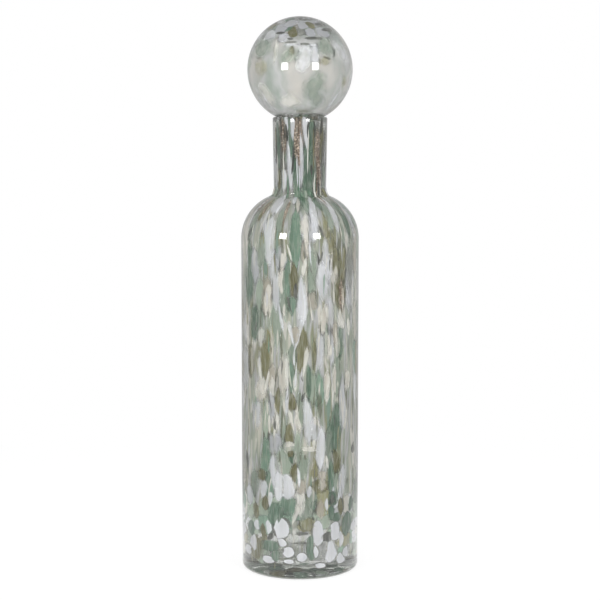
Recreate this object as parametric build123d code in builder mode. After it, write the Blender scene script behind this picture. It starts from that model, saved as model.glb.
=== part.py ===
from build123d import *

import os
from math import asin, atan2, degrees, sqrt

# Marble stopper bottle: a tall blown-glass bottle with a short neck, closed by a
# hollow glass ball whose tapered stem hangs down inside the neck.
# Millimetres, +Z up. The origin is the middle of the foot, on the surface that the
# bottle stands on.

# Bottle body
body_diameter = 100.0
body_wall = 3.6
side_height = 284.2
shoulder_radius = 38.7

# Bottle foot
floor_thickness = 11.0
floor_corner_radius = 9.0
heel_radius = 4.0
foot_ring_width = 9.0
kick_height = 3.0

# Bottle neck and lip
neck_diameter = 44.2
neck_wall = 3.5
neck_length = 65.6
neck_root_radius = 2.6
neck_root_inside_radius = 5.0
lip_diameter = 46.2
lip_wall = 3.8

# Stopper
ball_diameter = 88.6
ball_wall = 3.0
ball_seat_gap = 0.15
stem_top_diameter = 33.0
stem_end_diameter = 26.4
stem_wall = 3.0
stem_reach = 44.7
stem_root_radius = 3.0
stem_root_inside_radius = 2.0

# Body outline, worked out from the sizes above
body_radius = body_diameter / 2
body_bore = body_radius - body_wall
heel_centre_r = body_radius - heel_radius
kick_edge_r = heel_centre_r - foot_ring_width
kick_radius = (kick_edge_r**2 + kick_height**2) / (2 * kick_height)

# Shoulder: one round arc outside, and one a wall thinner about the same centre
shoulder_centre_r = body_radius - shoulder_radius
shoulder_inside_radius = shoulder_radius - body_wall
neck_radius = neck_diameter / 2
neck_bore = neck_radius - neck_wall
shoulder_top_z = side_height + sqrt(shoulder_radius**2 - (neck_radius - shoulder_centre_r) ** 2)
shoulder_top_angle = degrees(atan2(shoulder_top_z - side_height, neck_radius - shoulder_centre_r))
inside_top_z = side_height + sqrt(shoulder_inside_radius**2 - (neck_bore - shoulder_centre_r) ** 2)
inside_top_angle = degrees(atan2(inside_top_z - side_height, neck_bore - shoulder_centre_r))

# Lip: a half-round bead on the tube of the neck
lip_bead = lip_wall / 2
lip_ring_r = lip_diameter / 2 - lip_bead
lip_top_z = shoulder_top_z + neck_length
lip_ring_z = lip_top_z - lip_bead

# Ball: it stands on the lip all round, a seat gap above the bead
ball_radius = ball_diameter / 2
ball_bore = ball_radius - ball_wall
ball_centre_z = lip_ring_z + sqrt((ball_radius + lip_bead + ball_seat_gap) ** 2 - lip_ring_r**2)
ball_crown_z = ball_centre_z + ball_radius
ball_bore_crown_z = ball_centre_z + ball_bore

# Stem: a tapered tube drawn down from the ball, with a rounded open end
stem_bead = stem_wall / 2
stem_end_r = stem_end_diameter / 2
stem_end_ring_r = stem_end_r - stem_bead
stem_end_bore = stem_end_r - stem_wall
stem_end_z = lip_top_z - stem_reach
stem_end_ring_z = stem_end_z + stem_bead
stem_top_r = stem_top_diameter / 2
stem_top_bore = stem_top_r - stem_wall
stem_top_z = ball_centre_z - sqrt(ball_radius**2 - stem_top_r**2)
stem_top_angle = -degrees(asin((ball_centre_z - stem_top_z) / ball_radius))
stem_bore_top_z = ball_centre_z - sqrt(ball_bore**2 - stem_top_bore**2)
stem_bore_top_angle = -degrees(asin((ball_centre_z - stem_bore_top_z) / ball_bore))


# Bottle: foot, body, shoulder, neck and lip are one blown wall
with BuildPart() as bottle:
    with BuildSketch(Plane.XZ) as bottle_section:
        with BuildLine():
            # Outside, from the middle of the foot up to the lip
            kick = RadiusArc((0, kick_height), (kick_edge_r, 0), kick_radius)
            foot_ring = Line(kick @ 1, (heel_centre_r, 0))
            heel = CenterArc((heel_centre_r, heel_radius), heel_radius, -90, 90)
            side = Line(heel @ 1, (body_radius, side_height))
            shoulder = CenterArc((shoulder_centre_r, side_height), shoulder_radius, 0, shoulder_top_angle)
            neck = Line(shoulder @ 1, (lip_ring_r + lip_bead, lip_ring_z))
            lip = CenterArc((lip_ring_r, lip_ring_z), lip_bead, 0, 180)
            # Inside, from the lip back down to the floor
            neck_inside = Line(lip @ 1, (neck_bore, inside_top_z))
            shoulder_inside = CenterArc(
                (shoulder_centre_r, side_height), shoulder_inside_radius, inside_top_angle, -inside_top_angle
            )
            side_inside = Line(shoulder_inside @ 1, (body_bore, floor_thickness))
            floor = Line(side_inside @ 1, (0, floor_thickness))
            middle = Line(floor @ 1, (0, kick_height))
        make_face()
        corners = bottle_section.vertices()
        fillet(corners.sort_by_distance((neck_radius, shoulder_top_z))[0], neck_root_radius)
        fillet(corners.sort_by_distance((neck_bore, inside_top_z))[0], neck_root_inside_radius)
        fillet(corners.sort_by_distance((body_bore, floor_thickness))[0], floor_corner_radius)
    revolve(axis=Axis.Z)

# Stopper: the hollow ball and its stem are one blown wall
with BuildPart() as stopper:
    with BuildSketch(Plane.XZ) as stopper_section:
        with BuildLine():
            # Outside, from the crown of the ball down to the end of the stem
            ball = CenterArc((0, ball_centre_z), ball_radius, 90, stem_top_angle - 90)
            stem = Line(ball @ 1, (stem_end_r, stem_end_ring_z))
            stem_end = CenterArc((stem_end_ring_r, stem_end_ring_z), stem_bead, 0, -180)
            # Inside, from the end of the stem back up to the crown
            stem_inside = Line(stem_end @ 1, (stem_top_bore, stem_bore_top_z))
            ball_inside = CenterArc((0, ball_centre_z), ball_bore, stem_bore_top_angle, 90 - stem_bore_top_angle)
            crown = Line(ball_inside @ 1, (0, ball_crown_z))
        make_face()
        corners = stopper_section.vertices()
        fillet(corners.sort_by_distance((stem_top_r, stem_top_z))[0], stem_root_radius)
        fillet(corners.sort_by_distance((stem_top_bore, stem_bore_top_z))[0], stem_root_inside_radius)
    revolve(axis=Axis.Z)

bottle.part.label = "bottle"
stopper.part.label = "stopper"

# One STEP file for each piece
os.makedirs("parts", exist_ok=True)
export_step(bottle.part, "parts/bottle.step")
export_step(stopper.part, "parts/stopper.step")

# Sizes that the record and the report state
print("lip top", round(lip_top_z, 3), "ball centre", round(ball_centre_z, 3), "height", round(ball_crown_z, 3))
print("stem end", round(stem_end_z, 3), "kick edge radius", round(kick_edge_r, 3))
print("least bore round the stem", round(neck_bore - stem_end_r, 3))
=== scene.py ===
"""A tall blown-glass bottle with coloured chips melted into its wall, its hollow ball stopper and a studio.

Metres, +Z up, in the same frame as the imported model. Angle 0 on the glass faces the camera, along -Y.
"""

import math
import random
from bisect import bisect_right
from functools import cache

import bpy
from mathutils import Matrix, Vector


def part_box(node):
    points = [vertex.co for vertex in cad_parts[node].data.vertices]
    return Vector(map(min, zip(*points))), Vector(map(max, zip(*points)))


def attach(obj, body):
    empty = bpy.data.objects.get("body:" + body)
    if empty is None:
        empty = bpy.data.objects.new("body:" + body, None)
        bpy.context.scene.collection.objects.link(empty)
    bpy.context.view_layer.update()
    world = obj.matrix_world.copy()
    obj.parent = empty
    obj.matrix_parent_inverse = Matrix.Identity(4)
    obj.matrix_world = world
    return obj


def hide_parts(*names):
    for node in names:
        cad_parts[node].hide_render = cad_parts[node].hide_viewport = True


bl_info = {
    "name": "Marbled stopper bottle",
    "version": (1, 0, 0),
    "blender": (4, 5, 0),
    "location": "3D View > Sidebar > Bottle",
    "description": "Blown-glass bottle with coloured chips in its wall, a ball stopper and a small studio",
    "category": "Add Mesh",
}

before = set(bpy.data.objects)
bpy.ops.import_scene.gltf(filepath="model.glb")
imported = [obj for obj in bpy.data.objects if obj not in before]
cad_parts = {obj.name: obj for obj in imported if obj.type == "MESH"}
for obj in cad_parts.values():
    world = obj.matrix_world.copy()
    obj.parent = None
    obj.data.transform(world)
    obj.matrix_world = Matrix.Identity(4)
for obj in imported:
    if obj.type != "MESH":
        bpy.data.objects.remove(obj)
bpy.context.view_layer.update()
bottle_low, bottle_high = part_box("bottle")
stopper_low, stopper_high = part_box("stopper")

MM = 0.001


def amount(name, description, default, **kind):
    """A plain number that a user can change in the panel."""
    return bpy.props.FloatProperty(name=name, description=description, default=default, **kind)


def length(name, description, default):
    """A size in metres that a user can change in the panel."""
    return amount(name, description, default, precision=4, subtype="DISTANCE", unit="LENGTH")


def colour(name, description, default):
    """A plain colour that a user can change in the panel."""
    return bpy.props.FloatVectorProperty(
        name=name, description=description, default=default, size=3, subtype="COLOR", min=0.0, max=1.0
    )


class BottleSizes(bpy.types.PropertyGroup):
    """Sizes of the bottle's wall, foot, shoulder and neck."""

    body_radius: length("Body radius", "Outside of the straight body", (bottle_high.x - bottle_low.x) / 2)
    height: length("Height", "From the foot to the top of the lip", bottle_high.z)
    body_wall: length("Body wall", "Thickness of the straight body", 3.6 * MM)
    side_height: length("Side height", "Where the shoulder starts", 284.2 * MM)
    shoulder_radius: length("Shoulder radius", "Round of the shoulder", 38.7 * MM)
    floor_thickness: length("Floor thickness", "Solid glass under the inside", 11.0 * MM)
    floor_corner: length("Floor corner", "Round between the floor and the wall inside", 9.0 * MM)
    heel: length("Heel", "Round between the foot and the body", 4.0 * MM)
    foot_ring: length("Foot ring", "Width of the flat ring that it stands on", 9.0 * MM)
    kick: length("Kick", "Rise of the underside inside the foot ring", 3.0 * MM)
    neck_radius: length("Neck radius", "Outside of the neck at the shoulder", 22.1 * MM)
    neck_wall: length("Neck wall", "Thickness of the neck at the shoulder", 3.5 * MM)
    neck_root: length("Neck root", "Round between the neck and the shoulder outside", 2.6 * MM)
    neck_root_inside: length("Neck root inside", "Round between the neck and the shoulder inside", 5.0 * MM)
    lip_radius: length("Lip radius", "Outside of the lip", 23.1 * MM)
    lip_wall: length("Lip wall", "Thickness of the lip, which is rounded over", 3.8 * MM)
    skin: length("Skin", "How far the spun glass is kept inside the full size", 0.042 * MM)


class StopperSizes(bpy.types.PropertyGroup):
    """Sizes of the hollow ball and its stem."""

    ball_radius: length("Ball radius", "Outside of the ball", 44.3 * MM)
    ball_wall: length("Ball wall", "Thickness of the ball", 3.0 * MM)
    stem_top_radius: length("Stem top radius", "Outside of the stem under the ball", 16.5 * MM)
    stem_end_radius: length("Stem end radius", "Outside of the stem at its open end", 13.2 * MM)
    stem_wall: length("Stem wall", "Thickness of the stem", 3.0 * MM)
    stem_root: length("Stem root", "Round between the ball and the stem outside", 3.0 * MM)
    stem_root_inside: length("Stem root inside", "Round between the ball and the stem inside", 2.0 * MM)
    skin: length("Skin", "How far the spun glass is kept inside the full size", 0.042 * MM)


class ChipColours(bpy.types.PropertyGroup):
    """Colours of the glass chips, each from its palest to its deepest."""

    white_pale: colour("White, pale", "Milk glass", (0.90, 0.91, 0.94))
    white_deep: colour("White, deep", "Milk glass, thin and grey", (0.55, 0.56, 0.59))
    cream_pale: colour("Cream, pale", "Cream glass", (0.88, 0.87, 0.82))
    cream_deep: colour("Cream, deep", "Cream glass, warm", (0.50, 0.46, 0.39))
    sage_pale: colour("Sage, pale", "Grey-green glass", (0.52, 0.61, 0.50))
    sage_deep: colour("Sage, deep", "Grey-green glass, darker", (0.27, 0.33, 0.27))
    teal_pale: colour("Green, pale", "Cool green glass", (0.36, 0.53, 0.415))
    teal_deep: colour("Green, deep", "Cool green glass, darker", (0.10, 0.18, 0.12))
    olive_pale: colour("Olive, pale", "Olive glass", (0.42, 0.41, 0.24))
    olive_deep: colour("Olive, deep", "Olive glass, darker", (0.16, 0.155, 0.065))
    copper_pale: colour("Copper, pale", "Brown glass with copper in it", (0.34, 0.265, 0.195))
    copper_deep: colour("Copper, deep", "Brown glass, darker", (0.17, 0.12, 0.08))
    # Painted shade: thin dark chips that stand for shade between and under the other chips, not a glass of
    # that colour
    smoke_pale: colour("Painted shade, pale", "Painted shade between the chips", (0.30, 0.31, 0.285))
    smoke_deep: colour("Painted shade, deep", "Painted shade, darker", (0.055, 0.06, 0.05))


class StudioSettings(bpy.types.PropertyGroup):
    """Camera, floor and lamps."""

    camera_distance: length("Camera distance", "From the bottle's axis", 1.355)
    camera_height: length("Camera height", "Above the floor, level with the lip", 0.387)
    camera_tilt: amount("Camera tilt", "Down from level", math.radians(6.55), subtype="ANGLE")
    lens: amount("Lens", "Focal length in millimetres", 95.8)
    floor_colour: colour("Floor", "Plain pale floor", (0.92, 0.92, 0.92))
    backdrop: amount("Backdrop", "1 is white", 1.0)
    mirrored: amount("Mirrored", "How bright the backdrop shows in mirrors", 0.45)
    ceiling: amount("Ceiling", "How bright it shows overhead in the glass", 0.3)
    fill: amount("Fill", "Soft light from all round", 1.12)
    softbox_size: length("Softbox size", "Side of each square softbox", 0.36)
    softbox_height: length("Softbox height", "Middle of each softbox above the floor", 0.56)
    softbox_power: amount("Softbox power", "Light of each softbox", 9.0, subtype="POWER", unit="POWER")
    softbox_shine: amount("Softbox shine", "How bright its front shows in the glass", 10.0)


# Outlines in the section plane: points of (distance from the axis, height)


def arc(centre, radius, start, end, steps):
    """Points on a circle from one angle in degrees to another."""
    angles = [math.radians(start + (end - start) * i / steps) for i in range(steps + 1)]
    return [(centre[0] + radius * math.cos(a), centre[1] + radius * math.sin(a)) for a in angles]


def run(start, end, steps):
    """Points on a straight line, both ends included."""
    shares = [i / steps for i in range(steps + 1)]
    return [(start[0] + (end[0] - start[0]) * t, start[1] + (end[1] - start[1]) * t) for t in shares]


def joined(*stretches):
    """One outline from several stretches, with no point twice."""
    points = []
    for stretch in stretches:
        for point in stretch:
            if not points or math.dist(points[-1], point) > 0.02 * MM:
                points.append(point)
    return points


def angle_to(centre, point):
    """Direction from a centre to a point, in degrees."""
    return math.degrees(math.atan2(point[1] - centre[1], point[0] - centre[0]))


def root_of(centre, radius, side, root, way):
    """Centre of the small round where an upright side meets a circle, way 1 above the circle and -1 below."""
    r = side + root
    return (r, centre[1] + way * math.sqrt((radius + root) ** 2 - (r - centre[0]) ** 2))


def bottle_outlines(sizes):
    """The bottle's outside, from the middle of its foot up to the lip, and its inside, back to its floor."""
    skin = sizes.skin
    bead = sizes.lip_wall / 2
    lip_centre = (sizes.lip_radius - bead, sizes.height - bead)
    heel_centre = (sizes.body_radius - sizes.heel, sizes.heel)
    kick_edge = heel_centre[0] - sizes.foot_ring
    kick_radius = (kick_edge**2 + sizes.kick**2) / (2 * sizes.kick)
    kick_centre = (0.0, sizes.kick - kick_radius)
    shoulder_centre = (sizes.body_radius - sizes.shoulder_radius, sizes.side_height)

    side = sizes.body_radius - skin
    neck = sizes.neck_radius - skin
    shoulder = sizes.shoulder_radius - skin
    root_centre = root_of(shoulder_centre, shoulder, neck, sizes.neck_root, 1)
    outside = joined(
        arc(kick_centre, kick_radius, 90, angle_to(kick_centre, (kick_edge, 0.0)), 14),
        run((kick_edge, 0.0), (heel_centre[0], 0.0), 3),
        arc(heel_centre, sizes.heel - skin, -90, 0, 10),
        run((side, sizes.heel), (side, sizes.side_height), 70),
        arc(shoulder_centre, shoulder, 0, angle_to(shoulder_centre, root_centre), 40),
        arc(root_centre, sizes.neck_root, angle_to(root_centre, shoulder_centre) + 360, 180, 10),
        run((neck, root_centre[1]), (lip_centre[0] + bead - skin, lip_centre[1]), 22),
        arc(lip_centre, bead - skin, 0, 90, 8),
    )

    side = sizes.body_radius - sizes.body_wall
    neck = sizes.neck_radius - sizes.neck_wall
    shoulder = sizes.shoulder_radius - sizes.body_wall
    root_centre = root_of(shoulder_centre, shoulder, neck, sizes.neck_root_inside, 1)
    corner_centre = (side - sizes.floor_corner, sizes.floor_thickness + sizes.floor_corner)
    inside = joined(
        arc(lip_centre, bead - skin, 90, 180, 8),
        run((lip_centre[0] - bead, lip_centre[1]), (neck, root_centre[1]), 18),
        arc(root_centre, sizes.neck_root_inside, 180, angle_to(root_centre, shoulder_centre) + 360, 10),
        arc(shoulder_centre, shoulder, angle_to(shoulder_centre, root_centre), 0, 36),
        run((side, sizes.side_height), (side, corner_centre[1]), 64),
        arc(corner_centre, sizes.floor_corner, 0, -90, 12),
        run((corner_centre[0], sizes.floor_thickness), (0.0, sizes.floor_thickness), 10),
    )
    return outside, inside


def stopper_outlines(sizes):
    """The stopper's outside, from the end of its stem to the crown, and its inside, back down to the end."""
    skin = sizes.skin
    centre = (0.0, stopper_high.z - sizes.ball_radius)
    bead = sizes.stem_wall / 2
    end_centre = (sizes.stem_end_radius - bead, stopper_low.z + bead)

    ball = sizes.ball_radius - skin
    stem = sizes.stem_top_radius - skin
    root_centre = root_of(centre, ball, stem, sizes.stem_root, -1)
    to_root = angle_to(centre, root_centre)
    outside = joined(
        arc(end_centre, bead - skin, -90, 0, 6),
        run((end_centre[0] + bead - skin, end_centre[1]), (stem, root_centre[1]), 20),
        arc(root_centre, sizes.stem_root, 180, to_root + 180, 10),
        arc(centre, ball, to_root, 90, 96),
    )

    ball = sizes.ball_radius - sizes.ball_wall
    stem = sizes.stem_top_radius - sizes.stem_wall
    root_centre = root_of(centre, ball, stem, sizes.stem_root_inside, -1)
    to_root = angle_to(centre, root_centre)
    inside = joined(
        arc(centre, ball, 90, to_root, 80),
        arc(root_centre, sizes.stem_root_inside, to_root + 180, 180, 8),
        run((stem, root_centre[1]), (end_centre[0] - bead, end_centre[1]), 18),
        arc(end_centre, bead - skin, 180, 270, 6),
    )
    return outside, inside


class Wall:
    """The outside of a spun wall, read by the distance along its outline."""

    def __init__(self, outline, start=0.0):
        """Heights are looked for from the start on, a distance along the outline."""
        self.points, self.start = outline, start
        self.along = [0.0]
        for a, b in zip(outline, outline[1:]):
            self.along.append(self.along[-1] + math.dist(a, b))
        self.length = self.along[-1]

    def at(self, distance):
        """Radius, height and the outward normal's level and upright parts at a distance along it."""
        distance = min(max(distance, 0.0), self.length)
        next_up = min(bisect_right(self.along, distance), len(self.along) - 1)
        a, b = self.points[next_up - 1], self.points[next_up]
        step = self.along[next_up] - self.along[next_up - 1]
        share = (distance - self.along[next_up - 1]) / step
        dr, dz = (b[0] - a[0]) / step, (b[1] - a[1]) / step
        return a[0] + (b[0] - a[0]) * share, a[1] + (b[1] - a[1]) * share, dz, -dr

    def up_to(self, height):
        """Distance along the outline at which it first reaches a height."""
        for distance, (_, z) in zip(self.along, self.points):
            if distance >= self.start and z >= height:
                return distance
        return self.length

    def place(self, distance, angle, depth):
        """Point in space under the outside at a depth."""
        r, z, nr, nz = self.at(distance)
        r, z = r - nr * depth, z - nz * depth
        return Vector((r * math.sin(angle), -r * math.cos(angle), z))


# Mesh helpers


def only(piece):
    """Leaves one piece selected and active, in object mode."""
    if bpy.context.object and bpy.context.object.mode != "OBJECT":
        bpy.ops.object.mode_set(mode="OBJECT")
    bpy.ops.object.select_all(action="DESELECT")
    piece.select_set(True)
    bpy.context.view_layer.objects.active = piece


def new_piece(name, points, edges, faces):
    """A mesh object at the origin, linked to the scene."""
    mesh = bpy.data.meshes.new(name)
    mesh.from_pydata(points, edges, faces)
    mesh.update()
    piece = bpy.data.objects.new(name, mesh)
    bpy.context.collection.objects.link(piece)
    return piece


def store(piece, **layers):
    """Keeps three numbers for each point of a piece, for its material to read."""
    for name, values in layers.items():
        layer = piece.data.attributes.new(name, "FLOAT_VECTOR", "POINT")
        layer.data.foreach_set("vector", values)


def spun(name, outline, segments):
    """A closed outline from axis to axis, or a closed ring, spun into a solid wall with its faces outward."""
    points = [(r, 0.0, z) for r, z in outline]
    edges = [(i, i + 1) for i in range(len(points) - 1)]
    if outline[0][0] > 1 * MM or outline[-1][0] > 1 * MM:
        edges.append((len(points) - 1, 0))
    piece = new_piece(name, points, edges, [])
    only(piece)
    bpy.ops.object.mode_set(mode="EDIT")
    bpy.ops.mesh.select_all(action="SELECT")
    bpy.ops.mesh.spin(steps=segments, angle=math.tau, center=(0, 0, 0), axis=(0, 0, 1))
    bpy.ops.mesh.select_all(action="SELECT")
    bpy.ops.mesh.remove_doubles(threshold=0.01 * MM)
    bpy.ops.mesh.normals_make_consistent(inside=False)
    bpy.ops.object.mode_set(mode="OBJECT")
    bpy.ops.object.shade_smooth()
    return piece


# Materials


class Tree:
    """A material's or the world's node tree, with short calls for the nodes that are used here."""

    def __init__(self, tree, output):
        self.nodes, self.links = tree.nodes, tree.links
        self.nodes.clear()
        self.output = self.nodes.new(f"ShaderNode{output}")

    def add(self, kind, inputs=None, **settings):
        """A new node's outputs, from its settings and its inputs, which are sockets or plain values."""
        node = self.nodes.new(f"ShaderNode{kind}")
        for name, value in settings.items():
            setattr(node, name, value)
        for name, value in (inputs or {}).items():
            if isinstance(value, bpy.types.NodeSocket):
                self.links.new(value, node.inputs[name])
            else:
                node.inputs[name].default_value = value
        return node.outputs

    def number(self, operation, *values):
        """A Math node on sockets or plain numbers."""
        return self.add("Math", dict(enumerate(values)), operation=operation)["Value"]

    def product(self, first, *others):
        """Sockets and plain numbers multiplied together."""
        for other in others:
            first = self.number("MULTIPLY", first, other)
        return first

    def between(self, value, start, end, low=0.0, high=1.0):
        """Goes smoothly from low at the start to high at the end."""
        return self.add("MapRange", {
            "Value": value, "From Min": start, "From Max": end, "To Min": low, "To Max": high,
        }, interpolation_type="SMOOTHSTEP")["Result"]

    def mixed(self, share, first, second):
        """A number mixed towards another."""
        return self.add("Mix", {"Factor": share, "A": first, "B": second})["Result"]

    def blend(self, share, paint, other):
        """A painted colour mixed towards a plain one."""
        return self.add("Mix", {"Factor": share, "A": paint, "B": (*other, 1.0)}, data_type="RGBA")["Result"]

    def ramp(self, share, stops):
        """A colour read by a share from a row of stops."""
        colours = self.add("ValToRGB", {"Fac": share})
        elements = colours[0].node.color_ramp.elements
        while len(elements) < len(stops):
            elements.new(0.5)
        for element, (position, paint) in zip(elements, stops):
            element.position = position
            element.color = (*paint, 1.0)
        return colours["Color"]

    def place(self):
        """The place on the object."""
        return self.add("TexCoord")["Object"]

    def stored(self, name):
        """Three numbers that the piece keeps at its points."""
        return self.add("Attribute", attribute_name=name)["Vector"]

    def split(self, vector):
        """The three numbers of a vector."""
        return self.add("SeparateXYZ", {"Vector": vector})

    def noise(self, vector, scale, detail, distortion=0.0):
        """Soft noise from 0 to 1."""
        return self.add("TexNoise", {
            "Vector": vector, "Scale": scale, "Detail": detail, "Distortion": distortion,
        })["Fac"]

    def shaders(self, share, first, second):
        """One shader mixed towards another."""
        return self.add("MixShader", {"Fac": share, 1: first, 2: second})["Shader"]

    def unscattered(self, path):
        """1 until the light has met a matt thing."""
        return self.number("LESS_THAN", path["Diffuse Depth"], 0.5)

    def seen_directly(self):
        """1 for what the camera sees straight, by a mirror or through glass, else 0, and the light's path."""
        path = self.add("LightPath")
        seen = self.number("MAXIMUM", path["Is Camera Ray"], path["Is Glossy Ray"])
        seen = self.number("MAXIMUM", seen, path["Is Transmission Ray"])
        return self.product(seen, self.unscattered(path)), path

    def show(self, shader, where="Surface"):
        """Puts a shader on the surface or in the volume."""
        self.links.new(shader, self.output.inputs[where])


def new_material(name):
    """A new material and its empty node tree."""
    material = bpy.data.materials.new(name)
    material.use_nodes = True
    return material, Tree(material.node_tree, "OutputMaterial")


def clear_glass(name, tint, density, wave_size, wave_depth):
    """Clear blown glass: a little colour by thickness, slow waves, and open to the lamps' light."""
    material, tree = new_material(name)
    waves = tree.noise(tree.place(), 1 / wave_size, 1.5)
    bump = tree.add("Bump", {"Height": waves, "Strength": 1.0, "Distance": wave_depth})["Normal"]
    glass = tree.add("BsdfPrincipled", {
        "Base Color": (1.0, 1.0, 1.0, 1.0), "Roughness": 0.0, "IOR": 1.5, "Transmission Weight": 1.0,
        "Coat Weight": 1.0, "Coat Roughness": 0.0, "Coat IOR": 1.6, "Normal": bump,
    })["BSDF"]
    open_way = tree.add("BsdfTransparent")["BSDF"]
    tree.show(tree.shaders(tree.add("LightPath")["Is Shadow Ray"], glass, open_way))
    tree.show(tree.add("VolumeAbsorption", {"Color": (*tint, 1.0), "Density": density})["Volume"], "Volume")
    return material


def scattering(tree, paint):
    """Coloured glass that sends back half of the light and lets the other half through."""
    front = tree.add("BsdfPrincipled", {
        "Base Color": paint, "Roughness": 0.8, "Specular IOR Level": 0.0,
    })["BSDF"]
    through = tree.add("BsdfTranslucent", {"Color": paint})["BSDF"]
    return tree.shaders(0.5, front, through)


# A chip that the light reaches through more clear surfaces than this is buried, and shows as solid
BURIED = 5.5


def thinned(tree, milky, stopped):
    """Shows coloured glass by how much it stops: half as much for soft light, and all where it is buried."""
    path = tree.add("LightPath")
    shadow = path["Is Shadow Ray"]
    light = tree.number("MAXIMUM", shadow, path["Is Diffuse Ray"])
    stopped = tree.product(stopped, tree.number("MULTIPLY_ADD", light, -0.5, 1.0))
    buried = tree.number("GREATER_THAN", path["Transparent Depth"], BURIED)
    stopped = tree.number("MAXIMUM", stopped, tree.number("SUBTRACT", buried, shadow))
    tree.show(tree.shaders(stopped, tree.add("BsdfTransparent")["BSDF"], milky))


# Painted light and shade streaked through the chips of the body, cream flames of light shining through gaps
# and thin
# dark streaks of shade: scale of their noise level and by height, where in it they start and are full, their
# strength and their colour
PAINTED_BODY_STREAKS = (
    (0.17, 170.0, 0.59, 0.625, 0.9, (0.82, 0.80, 0.74)),
    (0.3, 120.0, 0.39, 0.35, 0.75, (0.16, 0.17, 0.11)),
)


def drawn(tree, paint, share=None):
    """Paints light and shade down the body through a paint, by the place on the bottle: cream flames and thin
    dark streaks.
    """
    x, y, z = tree.split(tree.place())
    level = tree.add("CombineXYZ", {"X": x, "Y": y})["Vector"]
    ring = tree.add("VectorMath", {0: level}, operation="NORMALIZE")["Vector"]
    wide = tree.add("VectorMath", {0: ring, "Scale": 50.0}, operation="SCALE")["Vector"]
    body = tree.product(tree.between(z, 0.055, 0.08), tree.between(z, 0.325, 0.295))
    if share:
        body = tree.product(body, share)
    for scale, stretch, start, end, strength, other in PAINTED_BODY_STREAKS:
        lift = tree.add("CombineXYZ", {"Z": tree.product(z, stretch)})["Vector"]
        way = tree.add("VectorMath", {0: wide, 1: lift})["Vector"]
        streaks = tree.between(tree.noise(way, scale, 1.6, 0.5), start, end)
        paint = tree.blend(tree.product(streaks, body, strength), paint, other)
    return paint


def run_glass(name, stops, broad_scale, fine_scale, fine_share):
    """Chips that have run together: soft streaks through several colours, in the grain stored on the film."""
    material, tree = new_material(name)
    strength, painted_dim, under = tree.split(tree.stored("place"))
    grain = tree.stored("grain")
    broad, fine = (tree.noise(grain, scale, 2.5) for scale in (broad_scale, fine_scale))
    paint = tree.ramp(tree.number("MULTIPLY_ADD", broad, 2.8, -0.9), stops)
    bright = tree.number("MULTIPLY_ADD", fine, fine_share, 1 - fine_share / 2)
    # Painted shade: the film is made darker by its stored dimming, towards the crown of the ball
    bright = tree.number("SUBTRACT", bright, painted_dim)
    # The painted light and shade streaks of the body are drawn over it
    paint = tree.add("HueSaturation", {"Value": bright, "Color": drawn(tree, paint)})["Color"]
    thinned(tree, scattering(tree, paint), tree.number("SUBTRACT", strength, under))
    return material


def chip_glass(name, pale, deep, glitter=None):
    """Coloured glass chips: each has its own shade, fades in streaks to its rim and lets light through."""
    tree = new_material(name)[1]
    across, along, back = tree.split(tree.stored("place"))
    tone, soft, strength = tree.split(tree.stored("look"))
    grain = tree.stored("grain")
    fine, broad, veins = (tree.noise(grain, scale, 2.0) for scale in (0.45, 0.18, 0.8))

    # Its own tone with broad and fine streaks, pale veins in the soft ones, and the painted light and shade
    # streaks of the body
    shade = tree.number("MULTIPLY_ADD", broad, 1.2, tone)
    shade = tree.number("MULTIPLY_ADD", fine, 0.3, shade)
    paint = tree.ramp(tree.number("SUBTRACT", shade, 0.75), ((0.0, pale), (1.0, deep)))
    veins = tree.number("MAXIMUM", tree.number("MULTIPLY_ADD", veins, 2.6, -1.15), 0.0)
    paint = tree.blend(tree.product(veins, soft), paint, (0.60, 0.61, 0.55))
    paint = drawn(tree, paint, tree.between(soft, 0.6, 0.72))
    if glitter:
        grains = tree.add("TexVoronoi", {"Vector": tree.place(), "Scale": 1200.0})["Color"]
        red = tree.add("SeparateColor", {"Color": grains})["Red"]
        paint = tree.blend(tree.number("GREATER_THAN", red, 0.86), paint, glitter)

    # How much of the light the chip stops: all in its middle, less towards its rim; its underside is clear
    side = tree.number("SUBTRACT", 1.0, tree.number("ABSOLUTE", across))
    end = tree.number("SUBTRACT", 1.0, tree.number("ABSOLUTE", along))
    steep = tree.number("MULTIPLY_ADD", soft, -3.0, 4.0)
    end = tree.number("MINIMUM", tree.product(end, steep), 1.0)
    ragged = tree.product(tree.number("SUBTRACT", fine, 0.5), soft)
    ragged = tree.number("MULTIPLY_ADD", ragged, 3.2, 1.0)
    stopped = tree.between(tree.product(side, end, ragged), 0.0, soft)
    stopped = tree.product(stopped, strength, tree.number("SUBTRACT", 1.0, back))
    thinned(tree, scattering(tree, paint), stopped)


# Chips: one flake is modelled for each outline, then copied and wrapped on the wall

# How far along the flake each of its rows lies, and how wide each outline is there
ROWS = (-1.0, -0.86, -0.62, -0.32, 0.0, 0.32, 0.62, 0.86, 1.0)
OUTLINES = {
    "spindle": (0.0, 0.32, 0.64, 0.9, 1.0, 0.92, 0.68, 0.36, 0.0),
    "drop": (0.0, 0.66, 0.95, 1.0, 0.86, 0.64, 0.42, 0.2, 0.0),
    "pebble": (0.0, 0.55, 0.84, 0.98, 1.0, 0.96, 0.82, 0.52, 0.0),
    "streak": (0.0, 0.52, 0.82, 0.96, 1.0, 0.97, 0.84, 0.5, 0.0),
    "dart": (0.0, 0.2, 0.42, 0.64, 0.84, 0.96, 1.0, 0.72, 0.0),
    "block": (0.0, 0.8, 0.95, 1.0, 1.0, 0.98, 0.92, 0.74, 0.0),
}

# Chips lie in two beds under the surface: depth of the first, and step between neighbours. A film lies deeper
BEDS = ((0.13 * MM, 0.018 * MM), (0.44 * MM, 0.02 * MM))
THICK = 0.12 * MM
FILM_DEPTH = 0.64 * MM

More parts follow.
